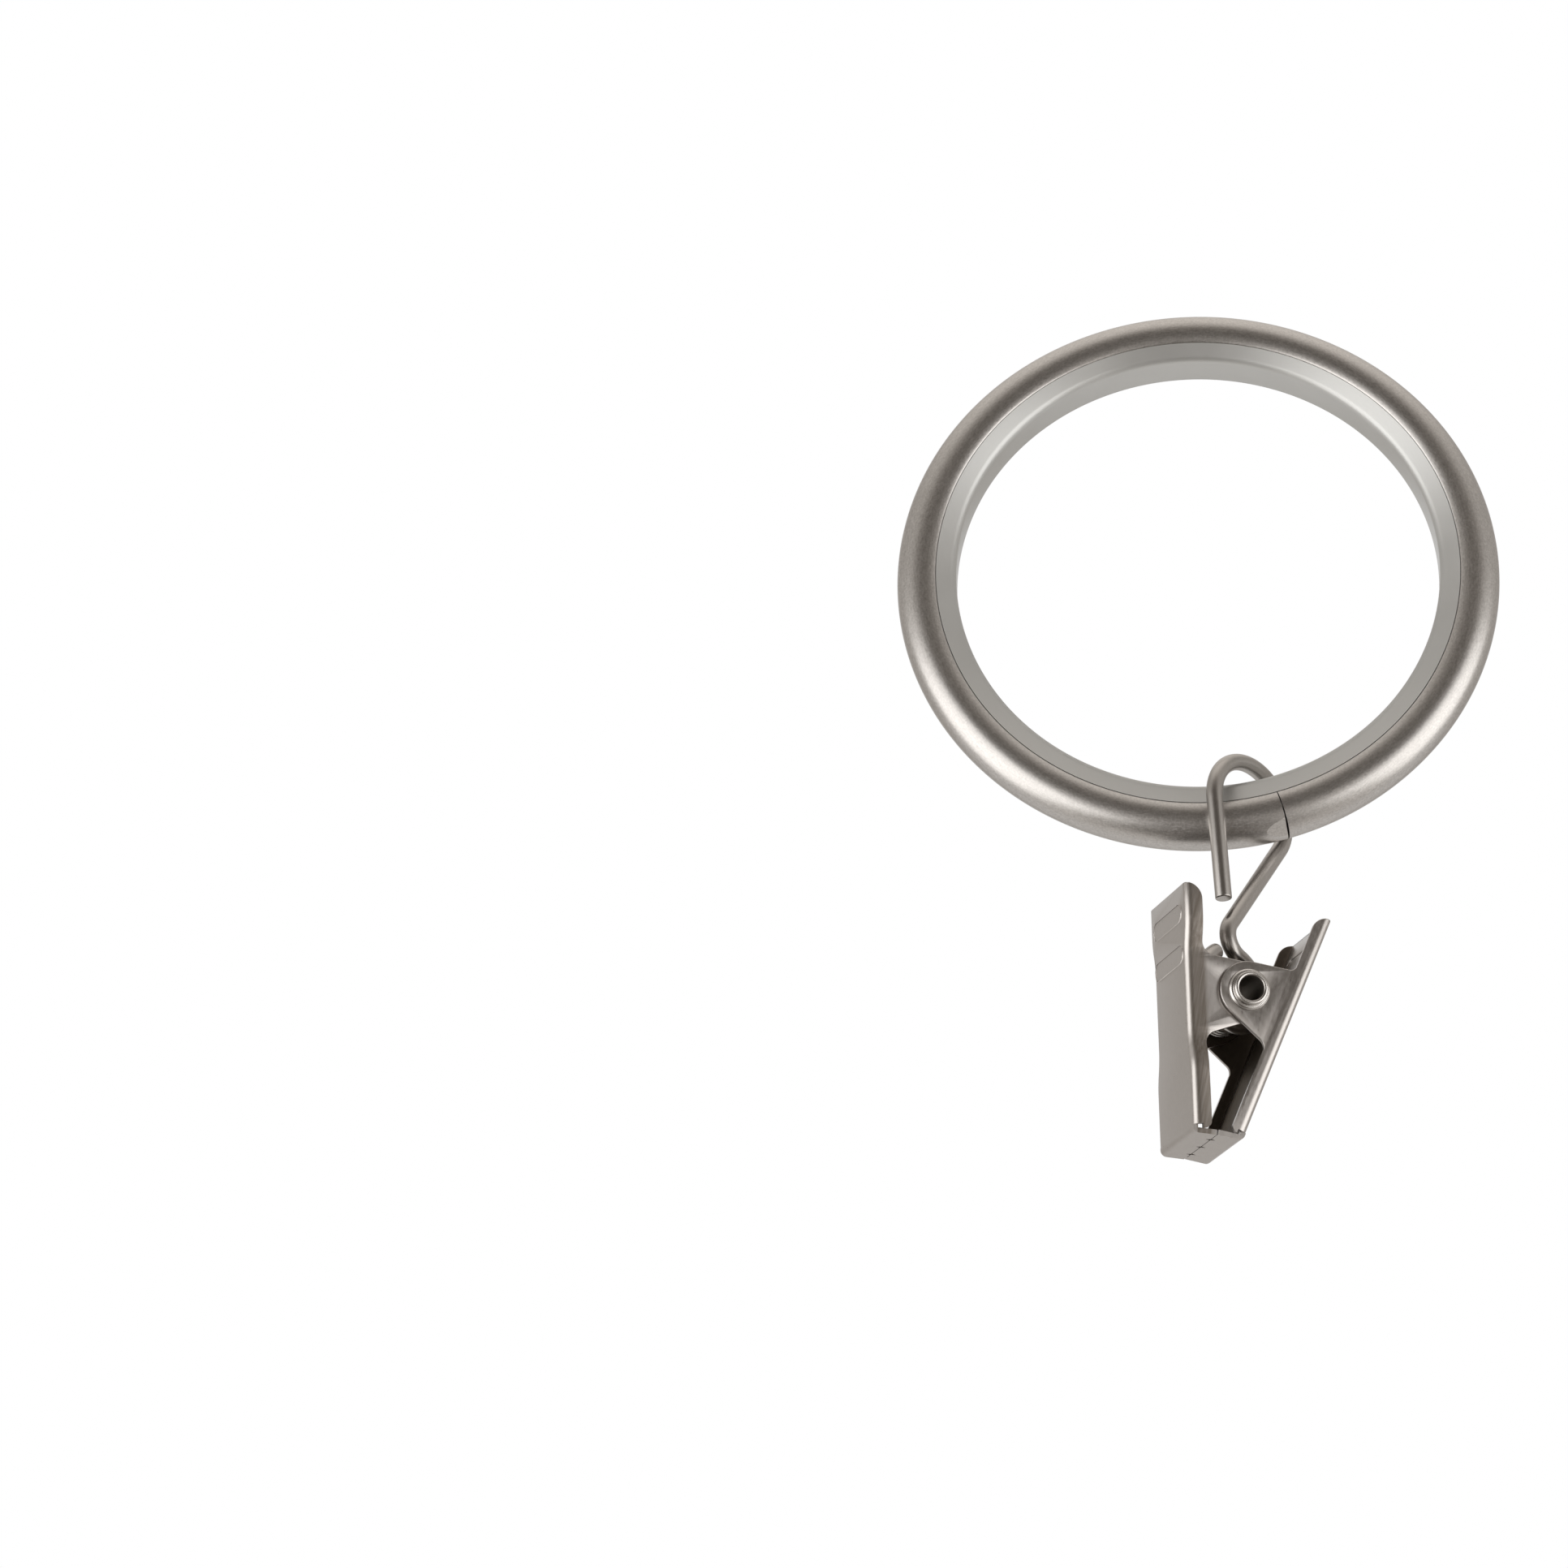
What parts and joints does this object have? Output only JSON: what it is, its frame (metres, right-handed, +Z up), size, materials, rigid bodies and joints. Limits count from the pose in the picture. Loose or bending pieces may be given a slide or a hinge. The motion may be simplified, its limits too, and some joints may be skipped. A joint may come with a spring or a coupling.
{
  "type": "curtain ring with clip",
  "caption": "Rolled metal curtain ring with a translucent glide liner and a spring clip hanging from it on a bent wire hook.",
  "frame": {"origin": "centre of the ring, on its axis, midway across the ring's thickness", "axes": "+Y along the ring's axis, which is the rod's direction, away from the free end of the hook; +Z up, with the clip hanging below"},
  "size_m": [0.0474, 0.0142, 0.0736],
  "materials": {
    "ring_metal": "satin nickel plate, warm grey",
    "liner": "frosted translucent",
    "wire": "satin nickel plate",
    "clip_metal": "satin nickel plate",
    "rivet_metal": "satin nickel plate",
    "spring_steel": "plain spring wire"
  },
  "bodies": {
    "ring": {"ring_channel": "ring_metal", "ring_liner": "liner"},
    "hook": {"hook": "wire"},
    "front": {"front_jaw": "clip_metal", "rivet": "rivet_metal", "spring": "spring_steel"},
    "rear": {"rear_jaw": "clip_metal"}
  },
  "joints": [
    {"name": "hook_travel", "type": "hinge", "parent": "ring", "child": "hook", "pos_m": [0, 0, 0], "axis": [0, 1, 0], "continuous": true},
    {"name": "clip_swing", "type": "hinge", "parent": "hook", "child": "front", "pos_m": [0.00166, -0.00108, -0.03758], "axis": [0.2759, -0.9386, -0.2071], "range_deg": [-20, 8]},
    {"name": "jaw_open", "type": "hinge", "parent": "front", "child": "rear", "pos_m": [0.00166, -0.00108, -0.03758], "axis": [0.2759, -0.9386, -0.2071], "range_deg": [0, 22], "stiffness_Nm_per_rad": 0.03, "springref_deg": -68.75, "deforming": ["spring"]}
  ]
}
